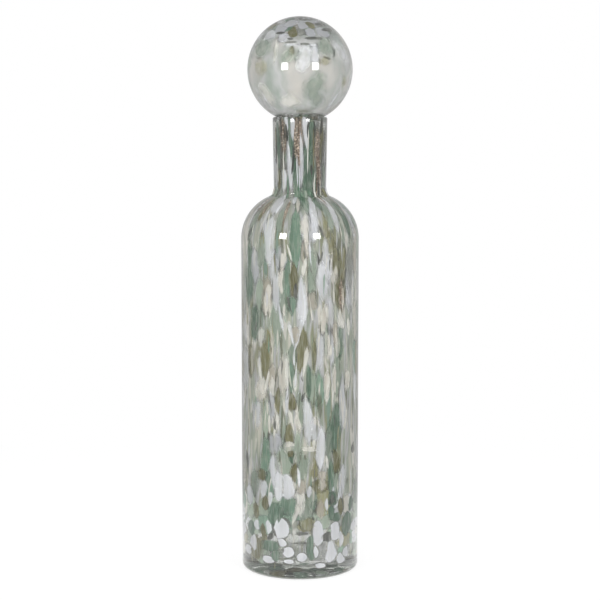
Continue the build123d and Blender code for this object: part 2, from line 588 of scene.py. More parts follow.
# Grain of the streaks in a chip, across and along it: on the whole, in cream, on the ball and on its crown
GRAIN, CREAM_GRAIN, BALL_GRAIN, CROWN_GRAIN = (1.0, 0.13), (1.7, 0.22), (0.24, 0.17), (0.5, 0.4)


def pick_points(piece, test):
    """Selects the points that pass a test, and leaves the piece in edit mode."""
    bpy.ops.object.mode_set(mode="EDIT")
    bpy.ops.mesh.select_mode(type="VERT")
    bpy.ops.mesh.select_all(action="DESELECT")
    bpy.ops.object.mode_set(mode="OBJECT")
    for point in piece.data.vertices:
        point.select = test(point.co)
    bpy.ops.object.mode_set(mode="EDIT")


@cache
def model_flake(outline):
    """A closed flake 2 wide and 2 long: a grid drawn in to an outline, pinched at its ends, with a keel."""
    bpy.ops.object.select_all(action="DESELECT")
    steps = len(ROWS) - 1
    bpy.ops.mesh.primitive_grid_add(x_subdivisions=4, y_subdivisions=steps, size=2)
    piece = bpy.context.object
    for row, (y, width) in enumerate(zip(ROWS, OUTLINES[outline])):
        was = -1 + 2 * row / steps
        pick_points(piece, lambda p: abs(p.y - was) < 0.01)
        if width:
            bpy.ops.transform.resize(value=(width, 1, 1), center_override=(0, 0, 0))
            bpy.ops.transform.translate(value=(0, y - was, 0))
        else:
            bpy.ops.mesh.merge(type="CENTER")
    bpy.ops.mesh.select_all(action="SELECT")
    bpy.ops.mesh.extrude_region_move(TRANSFORM_OT_translate={"value": (0, 0, -1)})
    bpy.ops.transform.resize(value=(0, 0.8, 1), center_override=(0, 0, 0))
    bpy.ops.mesh.select_all(action="SELECT")
    bpy.ops.mesh.remove_doubles(threshold=0.001)
    bpy.ops.mesh.normals_make_consistent(inside=False)
    bpy.ops.object.mode_set(mode="OBJECT")
    points = [(p.co.x, p.co.y, -p.co.z) for p in piece.data.vertices]
    faces = [tuple(face.vertices) for face in piece.data.polygons]
    bpy.data.objects.remove(piece)
    return points, faces


class Chips:
    """Chips of one colour on one wall, gathered into one mesh."""

    def __init__(self, name):
        self.name = name
        self.points, self.faces = [], []
        self.place, self.look, self.grain = [], [], []

    def lay(
        self, chance, put, outline, width, long, depth, tone, lean=0.0, soft=0.5, strength=1.0, grain=GRAIN
    ):
        """Wraps one uneven copy of a flake on a wall, by a function of what is across, along and under it."""
        points, faces = model_flake(outline)
        sides = {side: [chance.gauss(1.0, 0.08) for _ in ROWS] for side in (-1, 1)}
        wander = max(width, 5 * MM)
        bend = chance.uniform(-0.15, 0.15) * wander
        sway = chance.uniform(-0.1, 0.1) * wander
        turn = chance.uniform(0, math.tau)
        fade = chance.uniform(-0.15, 0.15)
        seed = chance.uniform(0, 500)
        first = len(self.points)
        for x, y, under in points:
            row = min(range(len(ROWS)), key=lambda i: abs(ROWS[i] - y))
            over = OUTLINES[outline][row]
            across = x * width / 2 * sides[1 if x > 0 else -1][row]
            across += math.tan(lean) * y * long / 2 + bend * y * y + sway * math.sin(2.5 * y + turn)
            self.points.append(put(across, y * long / 2, depth + under * THICK))
            self.place += (x / over if over else 0.0, y, under)
            self.look += (tone + fade * y, soft, strength)
            self.grain += (across / MM * grain[0], y * long / 2 / MM * grain[1], seed)
        self.faces += [tuple(first + i for i in face) for face in faces]

    def build(self, material, body, slot):
        """Makes the mesh with its shades as attributes, and rides it on a body."""
        piece = new_piece(self.name, self.points, [], self.faces)
        store(piece, place=self.place, look=self.look, grain=self.grain)
        piece.data.materials.append(material)
        only(piece)
        bpy.ops.mesh.customdata_custom_splitnormals_clear()
        bpy.ops.object.shade_smooth_by_angle(angle=math.radians(30))
        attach(piece, body)


def lay_film(name, wall, low, high, strength, painted_dim, grain, material, body):
    """A thin closed film under a wall; its strength, painted shade and grain go by the distance along the
    wall.
    """
    steps = int((high - low) / (4 * MM))
    rows = [low + (high - low) * i / steps for i in range(steps + 1)]
    ring = [(row, FILM_DEPTH, 0.0) for row in rows]
    ring += [(row, FILM_DEPTH + THICK, 1.0) for row in reversed(rows)]
    outline = []
    for row, down, _ in ring:
        r, z, nr, nz = wall.at(row)
        outline.append((r - nr * down, z - nz * down))
    piece = spun(name, outline, 120)
    places, grains = [], []
    for point in piece.data.vertices:
        r, z = math.hypot(point.co.x, point.co.y), point.co.z
        near = min(range(len(ring)), key=lambda i: abs(outline[i][0] - r) + abs(outline[i][1] - z))
        row, _, under = ring[near]
        places += (strength(row) if not under else 1.0, painted_dim(row), under)
        grains += grain(math.atan2(point.co.x, -point.co.y), row, point.co)
    store(piece, place=places, grain=grains)
    piece.data.materials.append(material)
    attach(piece, body)


COLOURS = {
    "white": ("White chips", "white_chips"),
    "cream": ("Cream chips", "white_chips"),
    "sage": ("Sage chips", "sage_chips"),
    "teal": ("Green chips", "teal_chips"),
    "olive": ("Olive chips", "olive_chips"),
    "copper": ("Copper chips", "copper_chips"),
    # Painted shade chips: dark slivers laid where only shade falls, not a glass of their own colour
    "smoke": ("Painted shade chips", "sage_chips"),
}
COPPER_GLITTER = (0.76, 0.63, 0.51)


def build_chips(beds, body):
    """Builds the chips of each colour, in a glass that is made for the first wall that has it."""
    colours = bpy.context.scene.chip_colours
    for name, (title, _) in COLOURS.items():
        if title not in bpy.data.materials:
            glitter = COPPER_GLITTER if name == "copper" else None
            chip_glass(title, getattr(colours, f"{name}_pale"), getattr(colours, f"{name}_deep"), glitter)
    for name, (title, slot) in COLOURS.items():
        beds[name].build(bpy.data.materials[title], body, slot)


def pick(chance, shares):
    """One name drawn by its share."""
    names = list(shares)
    return chance.choices(names, weights=[shares[name] for name in names])[0]


def on_wall(wall, distance, angle):
    """Wraps on a spun wall round a point of it, narrowing with the wall."""
    radius = wall.at(distance)[0]
    return lambda across, along, depth: wall.place(distance + along, angle + across / radius, depth)


def on_ball(centre, radius, up, angle):
    """Wraps on a ball round a point of it, by degrees above its middle and an angle round it."""
    lift = math.radians(up)
    normal = Vector((math.cos(lift) * math.sin(angle), -math.cos(lift) * math.cos(angle), math.sin(lift)))
    east = Vector((math.cos(angle), math.sin(angle), 0.0))
    north = east.cross(normal) * -1

    def put(across, along, depth):
        way = east * across + north * along
        reach = way.length / radius
        heading = way.normalized() if way.length else north
        return centre + (normal * math.cos(reach) + heading * math.sin(reach)) * (radius - depth)

    return put


def softness(crisp):
    """How wide a chip fades at its rim, from its crispness of 0 to 1, and how much larger that makes it."""
    soft = 0.78 - 0.7 * crisp
    return soft, 1 / (1 - 0.4 * soft)


def by_size(width, long):
    """How many steps down a chip of a size in mm lies, small ones on top."""
    return 12 * (1 - math.exp(-width * long / 200))


def along_table(table, height):
    """Reads a table of (height, value, ...) rows between its rows."""
    if height <= table[0][0]:
        return table[0][1:]
    for low, high in zip(table, table[1:]):
        if height <= high[0]:
            share = (height - low[0]) / (high[0] - low[0])
            return tuple(a + (b - a) * share for a, b in zip(low[1:], high[1:]))
    return table[-1][1:]


class GLASSWARE_OT_bottle(bpy.types.Operator):
    """Spin the bottle's clear wall from its outline"""

    bl_idname = "glassware.bottle"
    bl_label = "Bottle"

    def execute(self, context):
        outside, inside = bottle_outlines(context.scene.bottle_sizes)
        piece = spun("bottle_glass", joined(outside, inside), 160)
        piece.data.materials.append(clear_glass("Bottle glass", (0.60, 0.63, 0.58), 20.0, 30 * MM, 0.09 * MM))
        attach(piece, "bottle")
        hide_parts("bottle")
        return {"FINISHED"}


class GLASSWARE_OT_stopper(bpy.types.Operator):
    """Spin the stopper's clear wall from its outline"""

    bl_idname = "glassware.stopper"
    bl_label = "Stopper"

    def execute(self, context):
        outside, inside = stopper_outlines(context.scene.stopper_sizes)
        piece = spun("stopper_glass", joined(outside, inside), 144)
        glass = clear_glass("Stopper glass", (0.62, 0.67, 0.61), 16.0, 26 * MM, 0.08 * MM)
        piece.data.materials.append(glass)
        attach(piece, "stopper")
        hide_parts("stopper")
        return {"FINISHED"}


# Chips on the front, placed one by one: glass, shade from 0 pale to 1 deep, degrees round from the front,
# height in mm, width and length in mm, lean in degrees, outline, and how crisp it is
FRONT_CHIPS = (
    ("copper", 0.4, -7.0, 367.0, 5.4, 36.0, -2, "streak", 0.3),
    ("teal", 0.8, -52.8, 362.0, 5.5, 42.6, -2, "streak", 0.2),
    ("copper", 0.5, -38.1, 369.7, 6.0, 32.3, -3, "streak", 0.2),
    ("white", 0.2, -29.7, 379.9, 3.7, 13.6, -5, "dart", 0.3),
    ("teal", 0.6, -19.9, 366.3, 4.7, 37.3, -4, "streak", 0.2),
    ("white", 0.2, -23.1, 347.7, 4.9, 45.8, -2, "streak", 0.3),
    ("white", 0.3, -16.1, 376.1, 3.9, 21.2, -4, "dart", 0.3),
    ("teal", 0.55, -6.7, 326.6, 5.2, 54.1, -4, "streak", 0.2),
    ("white", 0.35, 2.4, 350.7, 3.1, 46.6, -1, "spindle", 0.3),
    ("teal", 0.75, 18.7, 340.8, 10.0, 47.6, -2, "streak", 0.3),
    ("white", 0.1, 12.5, 371.4, 5.0, 28.8, -6, "dart", 0.4),
    ("teal", 0.95, 26.0, 369.3, 5.7, 31.4, -2, "streak", 0.2),
    ("copper", 0.2, 39.3, 362.0, 5.6, 30.6, 0, "streak", 0.1),
    ("olive", 0.7, 53.5, 364.9, 5.9, 36.7, 0, "streak", 0.2),
    ("white", 0.5, -70.8, 340.0, 10.5, 31.7, 0, "streak", 0.1),
    ("olive", 0.6, -51.4, 332.1, 4.4, 18.8, -3, "streak", 0.2),
    ("white", 0.2, -36.5, 333.6, 5.1, 19.6, 0, "streak", 0.3),
    ("teal", 0.7, 32.4, 333.1, 4.5, 23.9, -3, "streak", 0.2),
    ("copper", 0.6, 44.8, 338.6, 5.1, 31.5, -1, "streak", 0.2),
    ("sage", 0.8, 65.6, 334.5, 8.6, 24.0, 0, "streak", 0.1),
    ("teal", 0.45, -5.2, 288.5, 10.5, 54.0, 0, "spindle", 0.35),
    ("white", 0.15, -32.5, 286.2, 11.6, 42.6, 1, "streak", 0.25),
    ("white", 0.35, -24.4, 251.5, 7.4, 50.8, -3, "streak", 0.2),
    ("white", 0.75, -17.9, 270.4, 8.3, 21.6, 0, "pebble", 0.0),
    ("white", 0.6, 6.4, 296.0, 7.2, 29.0, 0, "streak", 0.0),
    ("cream", 0.8, 4.1, 275.5, 5.9, 21.6, 0, "spindle", 0.05),
    ("white", 0.3, 13.6, 296.3, 5.6, 27.1, -1, "streak", 0.3),
    ("white", 0.25, 27.4, 270.5, 9.9, 42.5, -3, "spindle", 0.3),
    ("white", 0.3, 21.4, 248.7, 9.2, 33.3, -1, "spindle", 0.3),
    ("sage", 0.3, 11.7, 260.1, 6.6, 44.0, 0, "streak", 0.1),
    ("sage", 0.55, 9.9, 249.8, 5.1, 23.2, 0, "spindle", 0.1),
    ("cream", 0.9, 12.1, 235.2, 7.3, 15.8, 0, "block", 0.05),
    ("olive", 0.4, 31.2, 283.3, 7.3, 25.1, -3, "streak", 0.1),
    ("olive", 0.6, 36.1, 265.6, 8.8, 30.1, -2, "spindle", 0.15),
    ("olive", 0.8, 42.6, 240.1, 11.2, 36.9, -1, "spindle", 0.2),
    ("white", 0.6, 57.6, 244.1, 12.3, 40.5, 0, "streak", 0.1),
    ("teal", 0.8, -58.0, 255.1, 15.2, 55.7, 1, "spindle", 0.2),
    ("white", 0.45, -48.9, 262.4, 9.3, 31.9, -2, "spindle", 0.2),
    ("sage", 0.5, -39.8, 272.9, 8.9, 31.8, 0, "streak", 0.1),
    ("sage", 0.15, -42.5, 240.1, 8.2, 30.2, -1, "streak", 0.1),
    ("cream", 0.85, -33.5, 237.3, 8.5, 35.1, -1, "streak", 0.1),
    ("sage", 0.55, -16.7, 240.5, 9.6, 41.5, -2, "streak", 0.1),
    ("teal", 0.4, -11.7, 249.7, 5.9, 43.2, -1, "streak", 0.1),
    ("olive", 0.8, -5.6, 249.4, 7.0, 32.4, -2, "spindle", 0.3),
    ("teal", 0.35, -7.4, 229.5, 7.7, 17.4, 2, "dart", 0.2),
    ("white", 0.2, 2.2, 233.3, 9.0, 41.5, -1, "spindle", 0.3),
    ("sage", 0.4, -24.1, 213.2, 10.5, 45.8, -2, "dart", 0.15),
    ("sage", 0.65, -41.9, 215.9, 9.2, 31.8, -1, "streak", 0.1),
    ("teal", 0.9, -49.5, 215.3, 9.9, 31.9, -3, "streak", 0.2),
    ("olive", 0.5, -36.1, 182.4, 12.0, 34.3, 0, "dart", 0.3),
    ("olive", 0.45, -32.6, 201.5, 5.0, 18.4, 0, "spindle", 0.15),
    ("olive", 0.7, -56.4, 181.7, 8.0, 30.4, -1, "streak", 0.2),
    ("white", 0.5, -69.3, 174.5, 15.9, 39.0, 0, "streak", 0.1),
    ("olive", 0.55, 2.4, 192.6, 10.3, 41.5, 1, "spindle", 0.4),
    ("sage", 0.75, -8.0, 186.7, 7.2, 26.6, 0, "spindle", 0.2),
    ("teal", 0.5, -8.0, 169.7, 6.2, 27.4, 0, "spindle", 0.15),
    ("cream", 0.75, -3.7, 207.1, 7.0, 14.1, 0, "dart", 0.3),
    ("cream", 0.3, -16.9, 173.2, 9.2, 36.6, 0, "drop", 0.1),
    ("cream", 0.7, -28.2, 171.3, 7.6, 24.2, 1, "spindle", 0.15),
    ("olive", 0.55, -21.5, 149.3, 4.9, 24.1, 0, "spindle", 0.25),
    ("olive", 0.75, -7.5, 148.6, 7.5, 16.6, 0, "drop", 0.3),
    ("sage", 0.6, 0.1, 141.2, 6.3, 34.8, -1, "streak", 0.1),
    ("teal", 0.7, 8.2, 166.8, 4.5, 33.2, -1, "spindle", 0.25),
    ("olive", 0.5, 13.9, 189.1, 3.8, 24.9, -2, "spindle", 0.15),
    ("sage", 0.35, 12.1, 161.7, 6.3, 33.2, 0, "streak", 0.1),
    ("teal", 0.3, 19.1, 158.1, 7.6, 33.2, 0, "streak", 0.1),
    ("cream", 0.15, 26.7, 162.7, 5.3, 23.3, 0, "dart", 0.3),
    ("cream", 0.25, 35.6, 166.2, 3.1, 21.7, 0, "streak", 0.3),
    ("cream", 0.2, 23.3, 219.9, 7.3, 24.1, 1, "drop", 0.15),
    ("white", 0.4, 30.4, 221.6, 5.9, 31.7, 0, "streak", 0.15),
    ("sage", 0.9, 26.1, 200.2, 2.8, 31.6, 0, "streak", 0.2),
    ("white", 0.55, 19.3, 193.0, 6.2, 36.6, 0, "streak", 0.1),
    ("white", 0.6, 31.3, 193.2, 5.5, 31.7, 0, "streak", 0.1),
    ("teal", 0.65, 42.7, 198.6, 5.8, 27.6, 0, "streak", 0.2),
    ("cream", 0.85, 35.4, 206.3, 4.8, 21.7, 0, "streak", 0.1),
    ("cream", 0.1, 54.0, 164.3, 6.6, 15.2, 0, "dart", 0.3),
    ("white", 0.5, 46.0, 147.6, 7.5, 47.0, 0, "streak", 0.15),
    ("sage", 0.6, 38.1, 168.9, 7.6, 37.6, 0, "streak", 0.1),
    ("cream", 0.2, -41.5, 159.8, 12.6, 20.1, 0, "drop", 0.2),
    ("white", 0.7, -29.0, 144.6, 6.4, 27.5, 0, "spindle", 0.1),
    ("white", 0.6, -46.7, 138.3, 8.8, 25.2, 0, "spindle", 0.1),
    ("white", 0.2, 7.5, 135.7, 7.5, 40.7, -1, "streak", 0.25),
    ("white", 0.3, 15.0, 127.2, 7.2, 20.8, 0, "pebble", 0.15),
    ("sage", 0.2, -34.5, 133.7, 7.2, 36.7, 0, "streak", 0.1),
    ("teal", 0.4, -35.3, 101.1, 9.8, 38.4, 3, "spindle", 0.3),
    ("teal", 0.5, -30.6, 79.9, 9.2, 25.0, -4, "spindle", 0.3),
    ("white", 0.85, -25.2, 114.1, 12.5, 19.1, 0, "pebble", 0.05),
    ("sage", 0.25, -16.2, 98.5, 12.2, 29.9, -6, "spindle", 0.1),
    ("sage", 0.6, -15.9, 132.5, 5.5, 38.2, 0, "streak", 0.1),
    ("olive", 0.6, -9.8, 122.4, 6.6, 19.1, 0, "pebble", 0.3),
    ("olive", 0.8, -9.0, 107.5, 4.5, 5.8, 0, "block", 0.3),
    ("teal", 0.9, -7.5, 101.3, 5.9, 10.0, 0, "dart", 0.2),
    ("sage", 0.35, -2.5, 110.5, 6.1, 33.2, 0, "spindle", 0.2),
    ("sage", 0.55, 2.6, 93.5, 10.0, 25.7, 0, "dart", 0.1),
    ("olive", 0.8, -5.4, 88.5, 6.0, 17.4, 0, "spindle", 0.3),
    ("white", 0.2, 20.3, 109.4, 8.7, 37.4, 0, "spindle", 0.4),
    ("olive", 0.45, 14.0, 95.7, 5.5, 19.1, 0, "drop", 0.3),
    ("olive", 0.7, 18.0, 79.7, 15.0, 12.5, 0, "pebble", 0.3),
    ("cream", 0.55, 22.1, 86.4, 6.7, 10.0, 0, "dart", 0.2),
    ("teal", 0.7, 35.0, 127.0, 13.9, 43.4, -1, "spindle", 0.35),
    ("sage", 0.95, 28.7, 110.9, 5.6, 30.0, -2, "spindle", 0.15),
    ("olive", 0.95, 37.1, 99.2, 8.5, 21.7, -2, "drop", 0.25),
    ("teal", 0.6, 30.7, 87.4, 6.7, 33.4, 0, "spindle", 0.35),
    ("white", 0.3, 45.1, 79.7, 7.8, 31.9, 0, "spindle", 0.35),
    ("sage", 0.5, 37.8, 77.4, 5.4, 21.7, 0, "spindle", 0.1),
    ("white", 0.1, -20.9, 77.4, 7.0, 24.9, 0, "block", 0.6),
    ("white", 0.1, -11.0, 77.1, 9.3, 21.6, 0, "block", 0.6),
    ("white", 0.15, -26.9, 91.0, 6.0, 31.6, 0, "spindle", 0.3),
    ("white", 0.25, -37.5, 73.2, 7.7, 16.7, 0, "spindle", 0.35),
    ("white", 0.05, -29.8, 66.6, 4.9, 13.3, 0, "dart", 0.5),
    ("olive", 0.8, -39.8, 84.2, 8.5, 10.9, 0, "pebble", 0.25),
    ("sage", 0.85, -50.8, 79.3, 10.8, 24.4, 0, "spindle", 0.2),
    ("olive", 0.8, -35.8, 61.7, 7.1, 13.4, 0, "spindle", 0.35),
    ("olive", 0.6, -48.8, 53.6, 8.2, 14.3, 0, "spindle", 0.35),
    ("teal", 0.35, -24.3, 54.7, 16.1, 20.0, 0, "pebble", 0.35),
    ("teal", 0.6, -10.4, 60.5, 15.3, 16.6, 0, "pebble", 0.4),
    ("teal", 1.0, 33.1, 67.1, 8.7, 13.4, 0, "pebble", 0.3),
    ("olive", 0.7, 43.7, 57.7, 6.7, 15.9, 0, "spindle", 0.3),
    ("white", 0.1, 26.6, 64.0, 3.4, 10.8, 0, "spindle", 0.5),
    ("teal", 0.5, 31.8, 55.1, 6.4, 12.5, 0, "pebble", 0.35),
    ("teal", 0.7, 59.4, 56.3, 7.4, 13.5, 0, "spindle", 0.3),
    ("white", 0.35, -59.6, 65.7, 11.3, 18.6, 0, "spindle", 0.3),
    ("cream", 0.6, 1.2, 76.1, 8.3, 14.1, 0, "spindle", 0.1),
    ("cream", -0.25, 0.4, 68.0, 6.8, 27.0, 2, "streak", 0.0),
    ("sage", 0.5, 12.6, 65.0, 7.2, 22.4, 0, "spindle", 0.1),
    ("white", 0.4, 8.9, 74.3, 4.0, 10.8, 0, "spindle", 0.3),
    ("cream", 0.55, 20.1, 57.1, 6.6, 17.5, 0, "spindle", 0.2),
    ("teal", 0.65, 12.8, 63.8, 5.1, 10.0, 0, "spindle", 0.1),
    ("white", 0.0, -17.9, 40.5, 13.0, 18.3, 0, "pebble", 0.9),
    ("white", 0.05, -17.1, 28.5, 7.2, 7.0, 0, "pebble", 0.9),
    ("white", 0.02, -10.9, 23.6, 9.2, 9.1, 4, "pebble", 0.9),
    ("white", 0.08, 1.2, 17.2, 8.3, 7.5, 0, "pebble", 0.9),
    ("white", 0.02, -32.2, 14.9, 12.0, 6.2, 0, "pebble", 0.9),
    ("white", 0.1, 17.4, 38.2, 9.5, 21.6, 1, "pebble", 0.8),
    ("white", 0.08, 15.8, 23.1, 4.7, 10.3, 0, "spindle", 0.8),
    ("white", 0.12, 37.2, 38.2, 9.2, 15.7, 0, "block", 0.8),
    ("white", 0.3, 31.6, 20.7, 10.5, 20.4, 0, "drop", 0.6),
    ("white", 0.15, 43.0, 14.0, 9.4, 9.7, 0, "drop", 0.8),
    ("white", 0.1, 20.3, 11.7, 8.7, 4.2, 0, "pebble", 0.9),
    ("teal", 0.75, 53.8, 41.4, 14.0, 21.1, 0, "spindle", 0.5),
    ("teal", 0.8, 37.1, 48.8, 9.8, 7.9, 0, "pebble", 0.4),
    ("teal", 0.5, -30.6, 26.3, 16.6, 9.5, 0, "block", 0.4),
    ("teal", 0.45, -25.0, 18.0, 7.4, 10.0, 0, "pebble", 0.3),
    ("teal", 0.5, 10.2, 26.5, 5.6, 21.6, 0, "block", 0.4),
    ("olive", 0.2, 7.8, 44.4, 12.1, 11.6, 0, "pebble", 0.2),
    ("olive", 0.7, -47.4, 23.7, 14.9, 21.7, 0, "block", 0.3),
    ("white", 0.3, -52.2, 26.5, 9.1, 14.1, 0, "spindle", 0.5),
    ("white", 0.2, -62.3, 19.1, 10.5, 8.3, 0, "pebble", 0.8),
    ("teal", 0.75, -56.0, 39.8, 11.1, 13.5, 0, "spindle", 0.5),
    ("olive", 0.85, -38.4, 38.7, 6.1, 12.5, 0, "spindle", 0.5),
    ("white", 0.2, -32.1, 41.6, 5.8, 12.2, 0, "spindle", 0.6),
    ("white", 0.2, -47.2, 42.6, 6.4, 8.7, 0, "pebble", 0.6),
    ("white", 0.35, 44.1, 28.7, 6.0, 14.4, 0, "spindle", 0.5),
    ("white", 0.3, 50.7, 18.6, 7.2, 8.9, 0, "pebble", 0.8),
    ("white", 0.05, -11.2, 14.7, 8.5, 3.7, 0, "pebble", 0.9),
    ("teal", 0.55, -19.7, 53.4, 6.2, 15.0, 0, "dart", 0.2),
    # The narrow white and cream rows from here on to the painted shade ones are painted light: bright slits
    # where light shines through gaps between the chips
    ("white", 0.0, -8.5, 207.5, 3.4, 21.6, -12, "dart", 0.25),
    ("white", -0.1, -1.4, 204.2, 3.7, 28.2, 12, "dart", 0.25),
    ("cream", -0.3, -10.2, 275.5, 1.9, 14.9, -14, "spindle", 0.4),
    ("cream", -0.2, 4.1, 262.7, 3.8, 17.4, 11, "spindle", 0.3),
    ("white", 0.0, -19.1, 220.9, 2.8, 25.8, -7, "drop", 0.3),
    ("cream", -0.3, -40.5, 202.1, 6.8, 17.6, 6, "dart", 0.25),
    ("cream", -0.3, 42.6, 216.2, 7.0, 17.6, -10, "drop", 0.25),
    ("cream", -0.3, 54.6, 211.0, 4.3, 16.0, -4, "spindle", 0.3),
    ("cream", 0.0, 23.9, 217.8, 7.3, 26.6, 7, "spindle", 0.15),
    ("cream", -0.3, -42.4, 175.2, 4.4, 24.3, -6, "dart", 0.2),
    ("cream", -0.3, -33.1, 167.2, 3.2, 18.4, 12, "spindle", 0.25),
    ("cream", -0.3, -12.4, 174.2, 2.9, 34.9, -2, "streak", 0.3),
    ("white", 0.0, -12.6, 149.3, 2.9, 24.9, 3, "streak", 0.25),
    ("cream", -0.3, -8.3, 134.0, 3.4, 20.7, -13, "dart", 0.25),
    ("cream", -0.3, -39.3, 161.3, 8.8, 15.9, 4, "drop", 0.15),
    ("cream", -0.3, -27.0, 161.8, 7.6, 18.3, -10, "drop", 0.15),
    ("cream", -0.3, 5.0, 181.0, 3.8, 28.2, 7, "dart", 0.25),
    ("cream", -0.3, 26.7, 162.3, 5.1, 29.1, 2, "streak", 0.25),
    ("cream", -0.2, 33.8, 160.9, 3.7, 37.6, 4, "dart", 0.25),
    ("cream", -0.3, 53.0, 167.8, 7.3, 18.5, -2, "drop", 0.25),
    ("cream", -0.2, -4.2, 165.6, 3.5, 17.4, 3, "spindle", 0.25),
    ("cream", -0.3, -23.8, 130.8, 4.8, 20.8, 8, "dart", 0.25),
    ("cream", 0.0, -30.8, 128.2, 3.3, 18.3, -3, "spindle", 0.3),
    ("cream", -0.2, -9.8, 113.1, 6.8, 5.5, 0, "pebble", 0.1),
    ("cream", -0.1, 8.6, 110.6, 12.0, 5.0, -6, "pebble", 0.1),
    ("cream", -0.2, 13.4, 112.6, 3.4, 8.6, 0, "dart", 0.2),
    ("white", -0.1, -1.3, 85.2, 2.5, 17.4, -5, "streak", 0.35),
    ("cream", -0.3, -4.0, 56.0, 4.6, 18.0, 14, "dart", 0.1),
    ("cream", -0.3, 27.1, 99.8, 2.5, 12.5, -10, "spindle", 0.35),
    ("cream", 0.3, 21.3, 82.8, 6.8, 15.8, -6, "drop", 0.2),
    # Rows in painted shade, here and further on, are painted shade: thin dark slivers where the edges of the
    # chips bend the light away
    ("smoke", 0.5, -58.7, 289.1, 3.7, 12.6, 20, "spindle", 0.4),
    ("smoke", 0.5, 17.2, 268.3, 1.7, 12.5, -12, "drop", 0.5),
    ("smoke", 0.5, 20.7, 268.6, 1.6, 8.3, 22, "dart", 0.5),
    ("smoke", 0.4, 20.7, 293.2, 2.0, 11.0, -18, "spindle", 0.4),
    ("smoke", 0.3, -4.1, 240.3, 3.0, 14.1, 0, "spindle", 0.3),
    ("smoke", 0.5, -9.8, 228.6, 2.0, 15.8, -16, "dart", 0.4),
    ("smoke", 0.4, -24.7, 128.3, 2.4, 9.2, -10, "spindle", 0.4),
    ("smoke", 0.4, 2.7, 155.3, 2.0, 8.3, 22, "spindle", 0.4),
    ("smoke", 0.6, -63.4, 93.7, 5.3, 18.6, -12, "dart", 0.4),
    ("smoke", 0.5, 63.6, 104.2, 5.7, 9.3, 10, "drop", 0.4),
    ("smoke", 0.3, 2.2, 39.7, 10.0, 2.8, 0, "pebble", 0.4),
    ("smoke", 0.4, 27.0, 34.0, 7.6, 9.0, 0, "pebble", 0.3),
    ("smoke", 0.6, -30.2, 34.9, 5.5, 6.7, 20, "spindle", 0.3),
    ("smoke", 0.3, 0.3, 30.4, 12.5, 1.7, 0, "pebble", 0.2),
    ("smoke", 0.6, 32.7, 66.7, 6.0, 9.2, 0, "drop", 0.2),
    ("sage", 0.7, 8.5, 59.4, 12.6, 32.4, 6, "spindle", 0.0),
    ("olive", 0.6, 44.4, 262.2, 7.8, 37.7, 0, "streak", 0.1),
    ("copper", 0.4, 43.6, 237.1, 5.2, 27.7, 0, "streak", 0.1),
    ("smoke", -0.3, 56.3, 261.9, 8.9, 45.5, 0, "streak", 0.0),
    ("olive", 0.6, -48, 311.6, 6.4, 28.3, 0, "streak", 0.2),
    ("copper", 0.5, -47, 311.8, 2.6, 17.5, 0, "spindle", 0.3),
    ("white", 0.35, -33, 315.8, 7.5, 27.2, 0, "streak", 0.2),
    ("white", 0.2, -27, 312.9, 3.2, 15.5, 3, "spindle", 0.3),
    ("copper", 0.4, -16, 308.4, 2.8, 28.3, 4, "dart", 0.25),
    ("sage", 0.6, -21.5, 302.4, 6.4, 24.2, 0, "spindle", 0.2),
    ("teal", 0.5, 7, 317.4, 6.6, 33.8, 0, "dart", 0.2),
    ("white", 0.25, 16, 310.1, 5.6, 42.9, 0, "streak", 0.3),
    ("teal", 0.8, 25, 318.1, 4.6, 27.2, 0, "streak", 0.25),
    ("sage", 0.6, 32, 304.1, 6.6, 35.3, 0, "streak", 0.15),
    ("olive", 0.2, 26, 296.3, 4.6, 24.5, 0, "spindle", 0.1),
    ("white", 0.2, 40, 310.3, 5.4, 41.4, 0, "streak", 0.25),
    ("teal", 0.9, 55, 304.6, 6.0, 38.6, 0, "streak", 0.25),
    ("white", 0.45, 66, 295.9, 6.6, 37.6, 0, "streak", 0.2),
    ("sage", 0.7, 47, 297.1, 5.6, 34.5, 0, "streak", 0.15),
    ("copper", 0.6, -60, 316.4, 4.4, 29.4, 0, "streak", 0.2),
    ("white", 0.3, -63, 307.8, 4.4, 30.1, 0, "streak", 0.25),
    ("sage", 0.7, -56, 297.2, 6.4, 29.0, 0, "streak", 0.15),
    ("white", 0.5, -40, 300.4, 4.6, 27.7, 0, "spindle", 0.2),
    ("cream", 0.2, -3, 314.8, 3.0, 20.7, 0, "spindle", 0.3),
    ("white", 0.1, -8, 319.4, 3.2, 18.4, 0, "spindle", 0.4),
)

# Fine lines of painted shade on the front of the neck, laid last, in the same terms
NECK_FRONT_LINES = (
    ("smoke", 0.8, -29.6, 372.0, 2.0, 14.0, -4, "streak", 0.9),
    ("smoke", 0.9, -15.6, 350.5, 1.8, 24.0, 3, "streak", 0.9),
    ("smoke", 0.9, 52.5, 377.5, 3.0, 14.0, 4, "streak", 0.9),
    ("smoke", 0.7, 16.5, 376.5, 1.8, 14.0, 8, "streak", 0.9),
    ("smoke", 0.7, 25.7, 342.0, 2.0, 9.0, 0, "streak", 0.9),
    ("smoke", 0.9, -62.0, 362.0, 2.8, 30.0, 0, "streak", 0.8),
    ("smoke", 0.9, 66.0, 358.0, 3.0, 34.0, 0, "streak", 0.8),
    ("smoke", 0.9, -44.0, 378.0, 1.8, 14.0, 0, "streak", 0.9),
    ("smoke", 0.8, 31.0, 372.0, 1.6, 20.0, 2, "streak", 0.9),
)

